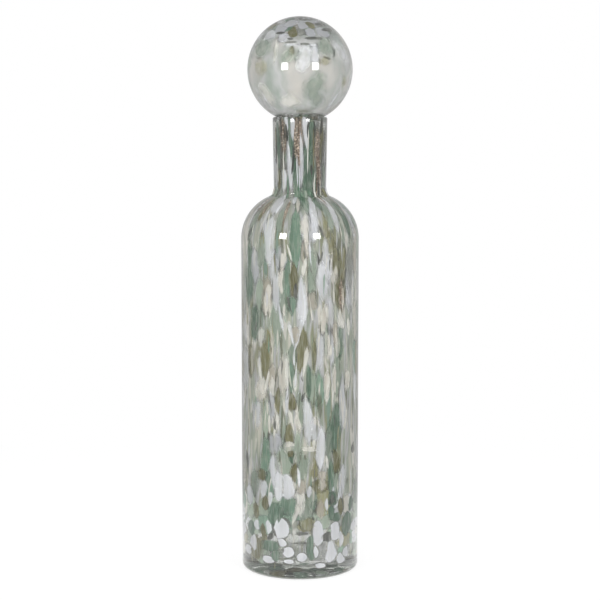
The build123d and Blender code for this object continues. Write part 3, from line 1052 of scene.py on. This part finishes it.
# The same on the ball, with degrees above its middle in place of the height
BALL_FRONT_CHIPS = (
    # Its first rows, in painted shade, are painted shadow: dark crescents under the crown's pebbles, and a
    # darker grey patch near its top
    ("smoke", 0.3, 16.7, 70.1, 17.7, 9.1, 0, "pebble", 0.5),
    ("smoke", 0.7, -28.8, 41.2, 7.9, 2.4, 0, "pebble", 0.6),
    ("smoke", 0.6, -11.8, 32.7, 4.8, 2.0, 0, "pebble", 0.6),
    ("smoke", 0.4, -10.1, 28.7, 8.9, 1.9, 0, "pebble", 0.5),
    ("smoke", 0.9, 18.3, 33.7, 15.5, 2.7, 0, "pebble", 0.6),
    ("smoke", 0.2, 5.9, 26.3, 7.1, 1.9, 0, "pebble", 0.5),
    ("smoke", 0.1, 2.1, 41.9, 6.9, 7.6, 0, "pebble", 0.3),
    ("smoke", 0.5, 42.0, 56.6, 11.1, 4.5, 0, "pebble", 0.5),
    ("smoke", 0.5, 49.3, 46.5, 12.7, 4.0, 0, "pebble", 0.5),
    ("white", 0.0, -10.2, 25.5, 11.1, 1.7, 0, "pebble", 0.4),
    ("white", 0.0, 15.7, 25.3, 7.3, 2.1, 0, "pebble", 0.4),
    ("white", 0.5, -19.8, 57.8, 10.1, 11.3, 0, "pebble", 0.5),
    ("white", 1.0, -23.7, 34.2, 7.2, 6.6, 0, "pebble", 0.4),
    ("white", 0.5, -45.6, 39.0, 13.6, 10.4, 0, "pebble", 0.4),
    ("white", 0.5, 15.0, 66.7, 18.8, 12.6, 0, "pebble", 0.6),
    ("white", 0.3, 5.0, 53.2, 8.9, 9.8, 0, "pebble", 0.9),
    ("olive", 0.6, 19.3, 54.1, 6.4, 9.5, 0, "pebble", 0.7),
    ("olive", 0.85, -10.6, 42.8, 7.9, 11.8, 0, "drop", 0.7),
    ("white", 0.35, 15.3, 41.7, 9.1, 9.2, 0, "pebble", 0.9),
    ("white", 0.7, 34.1, 42.6, 12.0, 11.0, 0, "pebble", 0.7),
    ("white", 0.6, -31.9, 48.2, 11.8, 11.0, 0, "pebble", 0.7),
    ("white", 1.0, -19.9, 34.8, 11.4, 8.7, 0, "pebble", 0.5),
    ("sage", 0.85, 31.0, 23.8, 13.8, 17.0, 0, "pebble", 0.2),
    ("white", 0.05, 4.3, 11.3, 11.4, 21.6, 0, "block", 0.3),
    ("white", 0.2, 16.7, 14.6, 7.0, 16.7, 0, "block", 0.3),
    ("olive", 0.3, -8.7, 19.4, 4.2, 8.1, 0, "drop", 0.2),
    ("sage", 0.35, -13.6, 13.4, 13.0, 12.5, 0, "pebble", 0.0),
    ("sage", 0.8, -52.0, 25.0, 24.0, 17.0, 0, "block", 0.2),
    ("olive", 0.3, -47.3, 1.5, 15.0, 12.5, 0, "pebble", 0.1),
    ("cream", 0.2, -28.5, 18.4, 4.1, 19.0, 0, "streak", 0.1),
    ("cream", 0.1, -47.5, -29.0, 14.0, 22.0, 0, "streak", 0.25),
    # Painted highlight: a bright arc of light bent at the ball's lower left edge
    ("white", 0.0, -51.0, -38.0, 3.0, 20.0, -10, "streak", 0.3),
    ("cream", 0.0, -13.0, -36.0, 16.0, 16.0, 0, "drop", 0.15),
    ("sage", 0.8, 20.5, -25.0, 20.0, 30.0, -3, "spindle", 0.25),
    ("white", 0.7, 57.3, 20.0, 20.0, 25.0, 0, "block", 0.0),
    ("olive", 0.5, 29.0, 7.3, 9.3, 6.1, 0, "pebble", 0.1),
    ("olive", 0.35, 58.0, -14.0, 7.0, 10.0, 0, "streak", 0.1),
    # Painted highlight: the same bright arc of bent light at the ball's lower right edge
    ("white", 0.2, 50.0, -38.0, 4.0, 18.0, 10, "streak", 0.2),
    ("olive", 0.6, 9.0, -53.0, 12.0, 6.5, 0, "pebble", 0.0),
)

# Height in mm, then the length in mm and the width in degrees of the other chips of the bottle there
BOTTLE_CHIPS = (
    (12, 9.5, 11.0),
    (40, 13, 11.5),
    (75, 24, 11.5),
    (120, 34, 9.5),
    (200, 40, 9.0),
    (290, 50, 10.0),
    (325, 52, 9.0),
    (386, 44, 9.0),
)

# Up to each height in mm, the shares of the outlines, of the colours in the upper bed and in the lower bed
BOTTLE_SHAPES = (
    (60, {"pebble": 5, "drop": 2, "block": 2}),
    (110, {"drop": 3, "spindle": 3, "dart": 2, "streak": 1}),
    (280, {"spindle": 4, "streak": 3, "dart": 2, "drop": 1}),
    (400, {"streak": 5, "spindle": 2, "dart": 1}),
)
BOTTLE_COLOURS = (
    (60, {"white": 44, "cream": 8, "sage": 14, "teal": 18, "olive": 12, "copper": 4}),
    (300, {"white": 32, "cream": 18, "sage": 25, "teal": 11, "olive": 12, "copper": 2}),
    (400, {"white": 30, "cream": 6, "sage": 18, "teal": 24, "olive": 12, "copper": 10}),
)
UNDER_COLOURS = (
    (60, {"white": 18, "cream": 10, "sage": 40, "teal": 16, "olive": 16}),
    (300, {"white": 26, "cream": 34, "sage": 30, "teal": 4, "olive": 6}),
    (400, {"white": 28, "cream": 8, "sage": 30, "teal": 16, "olive": 12, "copper": 6}),
)

# How much of the light the film of run chips stops by height in mm, and its colours along its streaks
FILM_STRENGTH = (
    (12, 0.0), (19, 0.35), (38, 0.4), (62, 0.92), (285, 0.92), (312, 0.55), (330, 0.25), (400, 0.2),
)
FILM_COLOURS = (
    (0.0, (0.78, 0.75, 0.67)), (0.22, (0.57, 0.59, 0.50)), (0.38, (0.42, 0.47, 0.39)),
    (0.5, (0.66, 0.66, 0.68)), (0.6, (0.58, 0.59, 0.57)), (0.76, (0.36, 0.36, 0.23)),
    (1.0, (0.27, 0.38, 0.31)),
)

# Distance along the bottle's outline that is past its underside
PAST_FOOT = 47 * MM

# Heights in mm: the lowest film and slits, the top of the pebbles, the top of the slits and of the shoulder,
# and the root of the neck
LOWEST, PEBBLES, SHOULDER, NECK = 12, 60, 312, 325

# Degrees round from the front that the placed chips fill
PLACED = 66
BOTTLE_SEED, STOPPER_SEED = 11, 23


def by_height(table, height):
    """The entry of the band that a height falls in."""
    for top, entry in table:
        if height <= top:
            return entry
    return table[-1][1]


class GLASSWARE_OT_bottle_chips(bpy.types.Operator):
    """Press coloured chips into the wall, round at the foot, pointed on the body, drawn out on the neck"""

    bl_idname = "glassware.bottle_chips"
    bl_label = "Chips of the bottle"

    def execute(self, context):
        chance = random.Random(BOTTLE_SEED)
        wall = Wall(bottle_outlines(context.scene.bottle_sizes)[0], PAST_FOOT)
        beds = {name: Chips(f"bottle_{name}_chips") for name in COLOURS}
        self.place(chance, wall, beds, FRONT_CHIPS)
        self.spread(chance, wall, beds, BEDS[0], 28, BOTTLE_COLOURS, size=1.0, crisp=0.3, share=0.86)
        self.spread(chance, wall, beds, BEDS[1], 30, UNDER_COLOURS, size=1.35, crisp=0.05, share=0.9)
        self.slits(chance, wall, beds)
        self.neck_lines(chance, wall, beds)
        self.foot_chips(chance, wall, beds)
        self.place(chance, wall, beds, NECK_FRONT_LINES)
        lay_film(
            "bottle_run_chips", wall, wall.up_to(LOWEST * MM), wall.length - 6 * MM,
            lambda row: along_table(FILM_STRENGTH, wall.at(row)[1] / MM)[0], lambda row: 0.0,
            lambda angle, row, point: (50 * math.sin(angle), 50 * math.cos(angle), row / MM * 0.1),
            run_glass("Run chips", FILM_COLOURS, 0.14, 0.55, 0.6), "bottle",
        )
        build_chips(beds, "bottle")
        return {"FINISHED"}

    def place(self, chance, wall, beds, rows):
        """Lays chips one by one from a table, with a painted shadow, a dark rim of shade chips, under the
        crisp ones at the foot.
        """
        depth, step = BEDS[0]
        for name, tone, around, height, width, long, lean, outline, crisp in rows:
            foot = height < PEBBLES
            soft, larger = softness(crisp if foot else crisp * 0.85)
            put = on_wall(wall, wall.up_to(height * MM), math.radians(around))
            down = depth + step * by_size(width, long)
            if name == "white":
                deeper = 0.05 if foot else 0.16
            else:
                deeper = 0.4 if foot or height > NECK else 0.2
            beds[name].lay(
                chance, put, outline, width * larger * MM, long * larger ** 0.4 * MM, down, tone + deeper,
                math.radians(lean), soft, 1.0 if crisp > 0.25 else 0.88,
                CREAM_GRAIN if name == "cream" else GRAIN,
            )
            # Painted shadow: a dark rim of painted shade chips just under and around each crisp pebble of the
            # foot
            if foot and crisp > 0.75:
                beds["smoke"].lay(
                    chance, put, outline, (width * larger + 1.5) * MM, (long + 1.6) * MM, down + 1.6 * step,
                    0.5, math.radians(lean), 0.25, 0.75,
                )

    def spread(self, chance, wall, beds, bed, columns, colours, size, crisp, share):
        """Lays chips all round in uneven columns, where no placed chips or film take their place."""
        depth, step = bed
        low = wall.up_to(9 * MM)
        for column in range(columns):
            distance = low + chance.uniform(-6, 6) * MM
            # The step of a chip in its bed, never that of its neighbours in this column and the next
            level = column * 3 % 4 * 2
            while distance < wall.length - 3 * MM:
                height = wall.at(distance)[1] / MM
                foot = height < PEBBLES
                long, wide = along_table(BOTTLE_CHIPS, height)
                long *= MM * chance.uniform(0.6, 1.3)
                centre = distance + long / 2
                around = 360 * (column + chance.uniform(-0.35, 0.35)) / columns
                distance += long * chance.uniform(0.72, 0.95)
                level ^= 1
                front = min(around % 360, -around % 360)
                if bed is BEDS[0]:
                    bare = front < PLACED
                else:
                    bare = 62 < height < 310 or height < 42 and front < 30
                thinning = share * (0.8 if height < 45 else 1.0)
                if bare or chance.random() > thinning or centre + long / 2 > wall.length + 6 * MM:
                    continue
                soft, larger = softness(crisp + 0.35 if foot else crisp * chance.uniform(0.3, 1.8))
                width = math.radians(wide) * wall.at(centre)[0] * chance.uniform(0.65, 1.35)
                centre = min(max(centre, low + long / 2), wall.length - long * 0.48)
                beds[pick(chance, by_height(colours, height))].lay(
                    chance, on_wall(wall, centre, math.radians(around)),
                    pick(chance, by_height(BOTTLE_SHAPES, height)), width * size * larger, long * size ** 0.5,
                    depth + step * level, chance.random() + (-0.2 if foot else 0.1),
                    math.radians(chance.gauss(-1.5, 2.5)), soft, 1.0 if foot else chance.uniform(0.7, 1.0),
                )

    def slits(self, chance, wall, beds):
        """Painted light and shade: thin bright streaks of light shining through gaps and thin dark streaks of
        shade, drawn out where neighbouring chips meet.
        """
        low, middle, high = (wall.up_to(height * MM) for height in (LOWEST, PEBBLES, SHOULDER))
        for i in range(230):
            foot = i % 3 == 0
            bright = i % 2 == 0 and not foot
            # The bright ones in cream and white are painted light; the dark ones are mostly painted shade
            colours = {"cream": 3, "white": 2} if bright else {"smoke": 5, "olive": 1, "teal": 1}
            span = (low, middle) if foot else (middle, high)
            around = chance.uniform(0, math.tau)
            wide = chance.uniform(1.0, 2.4) * (0.65 if math.cos(around) > 0.5 and not bright else 1.0)
            down = BEDS[0][0] + (0.28 * MM if foot and math.cos(around) > 0.35 else -0.06 * MM)
            beds[pick(chance, colours)].lay(
                chance, on_wall(wall, chance.uniform(*span), around),
                pick(chance, {"drop": 1, "dart": 1, "spindle": 1}), wide * MM,
                chance.uniform(5, 13 if foot else 26) * MM, down + i % 5 * 0.01 * MM,
                chance.uniform(0.0, 0.6), math.radians(chance.gauss(0.0, 16.0 if foot else 5.0)), 0.42, 0.92,
            )

    def neck_lines(self, chance, wall, beds):
        """Fine lines drawn out along the neck, pale and dark by turns, with no dark ones in front."""
        low, high, count = wall.up_to(SHOULDER * MM), wall.length - 4 * MM, 64
        for i in range(count):
            around = 360 * (i + chance.uniform(-0.3, 0.3)) / count
            long = chance.uniform(16, 44) * MM
            pale = i % 3 == 0
            # Among the dark colours, the painted shade chips are thin lines of painted shade
            colours = {"white": 5, "cream": 3} if pale else {"teal": 2, "copper": 3, "olive": 2, "smoke": 4}
            if min(around, 360 - around) < 22 and not pale:
                continue
            beds[pick(chance, colours)].lay(
                chance, on_wall(wall, chance.uniform(low + long / 2, high - long / 2), math.radians(around)),
                pick(chance, {"streak": 2, "dart": 1}), chance.uniform(1.1, 2.3) * MM, long, 0.06 * MM,
                chance.uniform(0.0, 0.4) if pale else chance.uniform(0.5, 1.2),
                math.radians(chance.gauss(0.0, 1.2)), 0.4, 0.95,
            )

    def foot_chips(self, chance, wall, beds):
        """Flat chips in the thick floor, close to its underside, in three rings."""
        for ring, count in ((16, 7), (27, 11), (38, 17)):
            for i in range(count):
                long = chance.uniform(9, 15) * MM
                around = math.tau * (i + ring / 9) / count
                beds[pick(chance, {"olive": 4, "teal": 4, "sage": 3, "white": 2, "copper": 1})].lay(
                    chance, on_wall(wall, (ring + chance.uniform(-2, 2)) * MM, around),
                    pick(chance, {"pebble": 2, "block": 1}), chance.uniform(9, 15) * MM, long,
                    0.5 * MM + i % 3 * 0.1 * MM, chance.uniform(0.4, 1.1),
                )


STEM_LENGTH = 44 * MM
STEM_COLOURS = {"copper": 30, "olive": 16, "white": 24, "sage": 14, "teal": 16}
BALL_COLOURS = {"white": 44, "cream": 18, "sage": 26, "teal": 4, "olive": 8}
CROWN_COLOURS = {"sage": 45, "olive": 20, "teal": 20, "white": 15}
BALL_FILM_COLOURS = (
    (0.0, (0.83, 0.80, 0.75)), (0.3, (0.76, 0.75, 0.72)), (0.5, (0.65, 0.68, 0.64)),
    (0.65, (0.81, 0.81, 0.81)), (1.0, (0.53, 0.60, 0.54)),
)

# Degrees above the ball's middle where the small chips of its crown start, placed and spread, and where the
# spread ones end
PLACED_CROWN, SPREAD_CROWN, SPREAD_END = 40, 42, -66

# Degrees from one of the evenly spread chips round to the next
GOLDEN = 137.508


class GLASSWARE_OT_stopper_chips(bpy.types.Operator):
    """Press coloured chips into the ball and its stem"""

    bl_idname = "glassware.stopper_chips"
    bl_label = "Chips of the stopper"

    def execute(self, context):
        chance = random.Random(STOPPER_SEED)
        sizes = context.scene.stopper_sizes
        wall = Wall(stopper_outlines(sizes)[0])
        beds = {name: Chips(f"stopper_{name}_chips") for name in COLOURS}
        root = wall.up_to(stopper_low.z + STEM_LENGTH)
        radius = sizes.ball_radius - sizes.skin
        centre = Vector((0.0, 0.0, stopper_high.z - sizes.ball_radius))
        self.line_stem(chance, wall, root, beds)
        self.place(chance, centre, radius, beds)
        self.spread(chance, centre, radius, beds)
        low, high = root + 4 * MM, wall.length - 20 * MM
        lay_film(
            "stopper_run_chips", wall, low, high,
            lambda row: 0.85 * min(1.0, (row - root) / (12 * MM), (high - row) / (16 * MM)),
            # Painted shade: darker towards the crown of the ball
            lambda row: min(0.035 + max((wall.at(row)[1] - centre.z) / radius - 0.42, 0.0) * 1.35, 0.5),
            lambda angle, row, point: (point.x / MM, point.y / MM, point.z / MM * 0.5),
            run_glass("Run chips of the ball", BALL_FILM_COLOURS, 0.05, 0.3, 0.12), "stopper",
        )
        build_chips(beds, "stopper")
        return {"FINISHED"}

    def line_stem(self, chance, wall, root, beds):
        """Lays long streaks down the stem, in uneven columns."""
        for (depth, step), columns, share in zip(BEDS, (10, 8), (0.85, 0.5)):
            for column in range(columns):
                distance = 2 * MM + chance.uniform(0, 6) * MM
                level = column * 3 % 4 * 2
                while distance < root:
                    long = chance.uniform(24, 44) * MM
                    centre = min(distance, root + 3 * MM - long) + long / 2
                    distance += long * chance.uniform(0.8, 1.0)
                    level ^= 1
                    if chance.random() > share:
                        continue
                    around = math.tau * (column + chance.uniform(-0.3, 0.3)) / columns
                    beds[pick(chance, STEM_COLOURS)].lay(
                        chance, on_wall(wall, centre, around), "streak", chance.uniform(3.2, 6.0) * MM, long,
                        depth + step * level, chance.random(), math.radians(chance.gauss(0.0, 2.5)),
                    )

    def place(self, chance, centre, radius, beds):
        """Lays the chips of the ball's front one by one, crisp on its crown, soft and faint below."""
        depth, step = BEDS[0]
        for name, tone, around, up, width, long, lean, outline, crisp in BALL_FRONT_CHIPS:
            crown = up >= PLACED_CROWN
            soft, larger = softness(crisp)
            if crown:
                deeper = 0.95 if name == "white" else 0.35
            else:
                soft += 0.16 if up > 0 else 0.22
                deeper = 0.35 if name == "sage" else 0.0
            if crisp > 0.4:
                strength = 0.95
            elif name == "olive":
                strength = 0.45
            else:
                strength = 0.75 if crisp or name == "sage" else 0.55
            beds[name].lay(
                chance, on_ball(centre, radius, up, math.radians(around)), outline, width * larger * MM,
                long * larger * MM, depth + step * by_size(width, long), tone * 0.8 + deeper,
                math.radians(lean), soft, strength, CROWN_GRAIN if crown else BALL_GRAIN,
            )

    def spread(self, chance, centre, radius, beds):
        """Lays chips evenly over the ball, small on its crown in both beds, large below in the upper one."""
        for (depth, step), count, upper in zip(BEDS, (54, 130), (True, False)):
            for i in range(count):
                up = math.degrees(math.asin(1 - 2 * (i + 0.5) / count)) + chance.uniform(-4, 4)
                around = i * GOLDEN % 360 + chance.uniform(-7, 7)
                crown = up > SPREAD_CROWN
                front = min(around, 360 - around)
                if up < SPREAD_END or upper and front < PLACED or not (upper or crown):
                    continue
                long = chance.uniform(8, 13) if crown else chance.uniform(18, 29)
                width = chance.uniform(8, 12) if crown else chance.uniform(14, 21)
                shapes = {"pebble": 1} if crown else {"drop": 2, "pebble": 2, "block": 1}
                beds[pick(chance, BALL_COLOURS if upper else CROWN_COLOURS)].lay(
                    chance, on_ball(centre, radius, up, math.radians(around)), pick(chance, shapes),
                    width * MM, long * MM, depth + step * (i * 5 % 8),
                    chance.uniform(-0.2, 0.5) if upper else 1.3 + chance.uniform(-0.2, 0.2),
                    math.radians(chance.gauss(0.0, 6.0)), 0.4 if crown else 0.9, 1.0 if crown else 0.6,
                    CROWN_GRAIN if crown else BALL_GRAIN,
                )


# How far each softbox stands from the bottle's axis and round from the camera, and the height that it faces
SOFTBOX_REACH, SOFTBOX_TURN, SOFTBOX_AIM = 1.4, math.radians(33), 0.36
FLOOR_RADIUS = 30.0


class GLASSWARE_OT_studio(bpy.types.Operator):
    """Set the camera, the pale floor, the white surround and two square softboxes"""

    bl_idname = "glassware.studio"
    bl_label = "Studio"

    def execute(self, context):
        studio = context.scene.studio
        self.add_camera(context, studio)
        self.add_floor(studio)
        self.add_world(context, studio)
        self.add_softbox(studio, "left", -1)
        self.add_softbox(studio, "right", 1)
        return {"FINISHED"}

    def add_camera(self, context, studio):
        """Level with the lip and tilted down, so that the lip shows edge-on and the foot as an ellipse."""
        data = bpy.data.cameras.new("Camera")
        data.lens = studio.lens
        data.sensor_width = 36.0
        data.clip_start = 0.05
        camera = bpy.data.objects.new("Camera", data)
        camera.location = (0.0, -studio.camera_distance, studio.camera_height)
        camera.rotation_euler = (math.pi / 2 - studio.camera_tilt, 0.0, 0.0)
        bpy.context.collection.objects.link(camera)
        context.scene.camera = camera

    def add_floor(self, studio):
        """A wide round floor, white to the camera and through glass, that keeps the bottle's shadow."""
        bpy.ops.object.select_all(action="DESELECT")
        bpy.ops.mesh.primitive_circle_add(
            vertices=64, radius=FLOOR_RADIUS, fill_type="NGON", location=(0, 0, -0.1 * MM)
        )
        floor = bpy.context.object
        floor.name = "floor"
        material, tree = new_material("Pale floor")
        matt = tree.add("BsdfDiffuse", {"Color": (*studio.floor_colour, 1.0)})["BSDF"]
        direct, path = tree.seen_directly()
        strength = tree.mixed(path["Is Glossy Ray"], studio.backdrop, studio.mirrored)
        glow = tree.add("Emission", {"Strength": strength})["Emission"]
        away = tree.add("VectorMath", {0: tree.place()}, operation="LENGTH")["Value"]
        # How much the floor glows near the bottle and away from it: less through glass than to the camera
        through_glass = tree.between(away, 0.07, 0.38, low=0.1)
        straight = tree.between(away, 0.15, 0.6, low=0.85)
        share = tree.product(direct, tree.mixed(path["Is Camera Ray"], through_glass, straight))
        tree.show(tree.shaders(share, matt, glow))
        floor.data.materials.append(material)

    def add_world(self, context, studio):
        """White behind the glass, greyer overhead in mirrors and glass, and a softer fill on matt things."""
        world = bpy.data.worlds.new("Surround")
        context.scene.world = world
        world.use_nodes = True
        tree = Tree(world.node_tree, "OutputWorld")
        direct, path = tree.seen_directly()
        up = tree.split(tree.add("TexCoord")["Generated"])["Z"]
        in_glass = tree.between(up, 0.35, 0.8, studio.backdrop, studio.ceiling)
        light = tree.mixed(direct, studio.fill, in_glass)
        light = tree.mixed(tree.product(direct, path["Is Glossy Ray"]), light, studio.mirrored)
        light = tree.mixed(path["Is Camera Ray"], light, studio.backdrop)
        tree.show(tree.add("Background", {"Color": (1.0, 1.0, 1.0, 1.0), "Strength": light})["Background"])

    def add_softbox(self, studio, name, side):
        """A square lamp to one side of the camera, and the bright square that shows in the glass."""
        turn = SOFTBOX_TURN * side
        x, y = SOFTBOX_REACH * math.sin(turn), -SOFTBOX_REACH * math.cos(turn)
        place = Vector((x, y, studio.softbox_height))
        aim = Vector((0.0, 0.0, SOFTBOX_AIM))
        turned = (aim - place).to_track_quat("-Z", "Y").to_euler()
        data = bpy.data.lights.new(f"softbox_{name}", "AREA")
        data.shape = "SQUARE"
        data.size = studio.softbox_size
        data.energy = studio.softbox_power
        lamp = bpy.data.objects.new(data.name, data)
        lamp.location = place
        lamp.rotation_euler = turned
        lamp.visible_transmission = False
        lamp.visible_glossy = False
        bpy.context.collection.objects.link(lamp)

        bpy.ops.object.select_all(action="DESELECT")
        bpy.ops.mesh.primitive_plane_add(size=studio.softbox_size, location=place, rotation=turned)
        front = bpy.context.object
        front.name = f"softbox_{name}_front"
        bpy.ops.object.transform_apply(location=True, rotation=True, scale=True)
        material, tree = new_material(f"Softbox {name}")
        shine = tree.product(tree.unscattered(tree.add("LightPath")), studio.softbox_shine)
        tree.show(tree.add("Emission", {"Strength": shine})["Emission"])
        front.data.materials.append(material)
        front.visible_camera = False
        front.visible_diffuse = False
        front.visible_transmission = False
        front.visible_shadow = False


class GLASSWARE_PT_panel(bpy.types.Panel):
    """Lists the settings, the pieces and the stage"""

    bl_label = "Stopper bottle"
    bl_idname = "GLASSWARE_PT_panel"
    bl_space_type = "VIEW_3D"
    bl_region_type = "UI"
    bl_category = "Bottle"

    def draw(self, context):
        for name, group in GROUPS:
            box = self.layout.box()
            for setting in group.__annotations__:
                box.prop(getattr(context.scene, name), setting)
        for step in STEPS:
            self.layout.operator(step.bl_idname)


STEPS = (
    GLASSWARE_OT_bottle,
    GLASSWARE_OT_stopper,
    GLASSWARE_OT_bottle_chips,
    GLASSWARE_OT_stopper_chips,
    GLASSWARE_OT_studio,
)
GROUPS = (
    ("bottle_sizes", BottleSizes),
    ("stopper_sizes", StopperSizes),
    ("chip_colours", ChipColours),
    ("studio", StudioSettings),
)


def register():
    """Registers the settings, the operators and the panel."""
    for name, group in GROUPS:
        bpy.utils.register_class(group)
        setattr(bpy.types.Scene, name, bpy.props.PointerProperty(type=group))
    for step in STEPS:
        bpy.utils.register_class(step)
    bpy.utils.register_class(GLASSWARE_PT_panel)


def unregister():
    """Takes them away again."""
    bpy.utils.unregister_class(GLASSWARE_PT_panel)
    for step in reversed(STEPS):
        bpy.utils.unregister_class(step)
    for name, group in reversed(GROUPS):
        delattr(bpy.types.Scene, name)
        bpy.utils.unregister_class(group)


def main():
    """Builds the object and its stage."""
    register()
    bpy.ops.glassware.bottle()
    bpy.ops.glassware.stopper()
    bpy.ops.glassware.bottle_chips()
    bpy.ops.glassware.stopper_chips()
    bpy.ops.glassware.studio()
    bpy.context.scene.view_settings.view_transform = "Standard"


if __name__ == "__main__":
    main()
